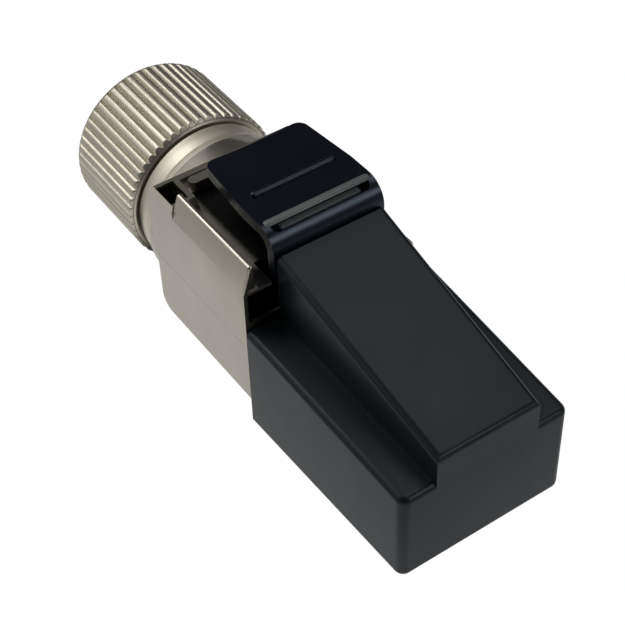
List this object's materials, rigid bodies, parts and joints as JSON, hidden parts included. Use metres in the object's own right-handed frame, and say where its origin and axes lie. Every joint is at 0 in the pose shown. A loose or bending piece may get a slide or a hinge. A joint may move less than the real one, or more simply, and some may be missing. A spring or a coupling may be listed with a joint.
{
  "type": "field termination ethernet plug",
  "caption": "Shielded field termination ethernet plug with dust cap, sprung latch lever and knurled gland nut for a round cable.",
  "frame": {"origin": "middle of the whole capped plug, on the surface that cap and nut rest on", "axes": "+Y from the capped nose towards the cable, +Z from the rest surface towards the latch lever, +X to the right of a viewer who looks along +Y"},
  "size_m": [0.014, 0.042, 0.0161],
  "materials": {
    "cap_plastic": "matte black moulding, fine grain",
    "latch_plastic": "satin black moulding",
    "nickel_casting": "satin nickel plate on a zinc die casting",
    "nickel_turned": "nickel plate on a turned brass part",
    "insert_plastic": "moulded, satin",
    "shield_sheet": "nickel-plated sheet",
    "board_laminate": "green solder mask",
    "carrier_plastic": "moulded, satin",
    "manager_plastic": "moulded, natural white",
    "spring_sheet": "bare spring steel",
    "collet_plastic": "moulded, satin",
    "seal_rubber": "matt",
    "ring_plastic": "low-friction moulding",
    "contact_gold": "gold plate",
    "fork_tin": "tin plate"
  },
  "bodies": {
    "housing": {"plug_nose": "insert_plastic", "nose_shield": "shield_sheet", "contact_1": "contact_gold", "contact_2": "contact_gold", "contact_3": "contact_gold", "contact_4": "contact_gold", "contact_5": "contact_gold", "contact_6": "contact_gold", "contact_7": "contact_gold", "contact_8": "contact_gold", "circuit_board": "board_laminate", "idc_carrier": "carrier_plastic", "idc_contact_1": "fork_tin", "idc_contact_2": "fork_tin", "idc_contact_3": "fork_tin", "idc_contact_4": "fork_tin", "idc_contact_5": "fork_tin", "idc_contact_6": "fork_tin", "idc_contact_7": "fork_tin", "idc_contact_8": "fork_tin", "wire_manager": "manager_plastic", "lower_housing": "nickel_casting", "upper_housing": "nickel_casting", "neck_collar": "nickel_turned", "shield_spring": "spring_sheet", "clamp_collet": "collet_plastic", "cable_seal": "seal_rubber"},
    "cap": {"dust_cap": "cap_plastic"},
    "latch": {"latch_lever": "latch_plastic"},
    "clamp_train": {"thrust_ring": "ring_plastic"},
    "nut": {"gland_nut": "nickel_turned"}
  },
  "joints": [
    {"name": "cap_slide", "type": "slide", "parent": "housing", "child": "cap", "axis": [0, -1, 0], "range_m": [0, 0.018]},
    {"name": "latch_press", "type": "hinge", "parent": "housing", "child": "latch", "pos_m": [0, -0.01867, 0.007], "axis": [-1, 0, 0], "range_deg": [0, 5.5], "stiffness_Nm_per_rad": 0.8},
    {"name": "nut_travel", "type": "slide", "parent": "housing", "child": "clamp_train", "axis": [0, 1, 0], "range_m": [0, 0.003]},
    {"name": "nut_spin", "type": "hinge", "parent": "clamp_train", "child": "nut", "pos_m": [0, 0.01673, 0.0063], "axis": [0, 1, 0], "range_deg": [0, 1080]}
  ],
  "couplings": [
    {"joint": "nut_travel", "follows": "nut_spin", "m_per_rad": 0.000159}
  ]
}
